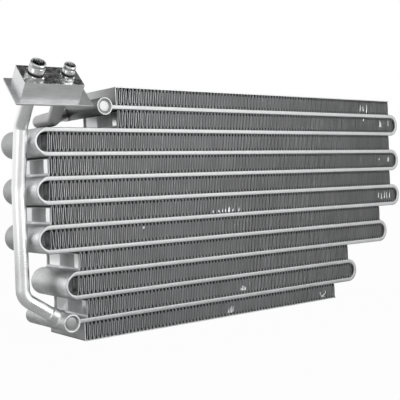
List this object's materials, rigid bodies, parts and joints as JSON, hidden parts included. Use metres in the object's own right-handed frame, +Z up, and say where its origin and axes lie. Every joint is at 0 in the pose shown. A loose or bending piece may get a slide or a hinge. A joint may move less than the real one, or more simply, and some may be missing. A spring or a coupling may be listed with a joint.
{
  "type": "evaporator core",
  "caption": "Serpentine flat-tube evaporator core with corrugated fins, headers, connection pipes and a tilted block with two male fittings.",
  "frame": {"origin": "centre of the underside of the bottom side plate, on which the core stands", "axes": "+X along the runs, away from the headers; +Y along the air flow, from the front with the fittings to the back; +Z up, across the runs"},
  "size_m": [0.6086, 0.1289, 0.2874],
  "materials": {
    "tube_aluminium": "bare brazed aluminium",
    "fin_aluminium": "bare corrugated sheet",
    "sheet_aluminium": "bare rolled sheet",
    "bright_aluminium": "bright drawn and turned",
    "block_aluminium": "machined, satin",
    "seal_rubber": "smooth black rubber"
  },
  "bodies": {
    "root": {"serpentine_tube": "tube_aluminium", "fin_row_01": "fin_aluminium", "fin_row_02": "fin_aluminium", "fin_row_03": "fin_aluminium", "fin_row_04": "fin_aluminium", "fin_row_05": "fin_aluminium", "fin_row_06": "fin_aluminium", "fin_row_07": "fin_aluminium", "fin_row_08": "fin_aluminium", "fin_row_09": "fin_aluminium", "fin_row_10": "fin_aluminium", "fin_row_11": "fin_aluminium", "top_side_plate": "sheet_aluminium", "bottom_side_plate": "sheet_aluminium", "top_header": "tube_aluminium", "bottom_header": "tube_aluminium", "top_header_front_cap": "bright_aluminium", "top_header_rear_cap": "bright_aluminium", "bottom_header_front_cap": "bright_aluminium", "bottom_header_rear_cap": "bright_aluminium", "suction_pipe": "bright_aluminium", "suction_sleeve": "bright_aluminium", "liquid_pipe": "tube_aluminium", "connection_block": "block_aluminium", "flange_plate": "block_aluminium", "suction_fitting": "bright_aluminium", "liquid_fitting": "bright_aluminium", "suction_seal": "seal_rubber", "liquid_seal": "seal_rubber"}
  },
  "joints": []
}
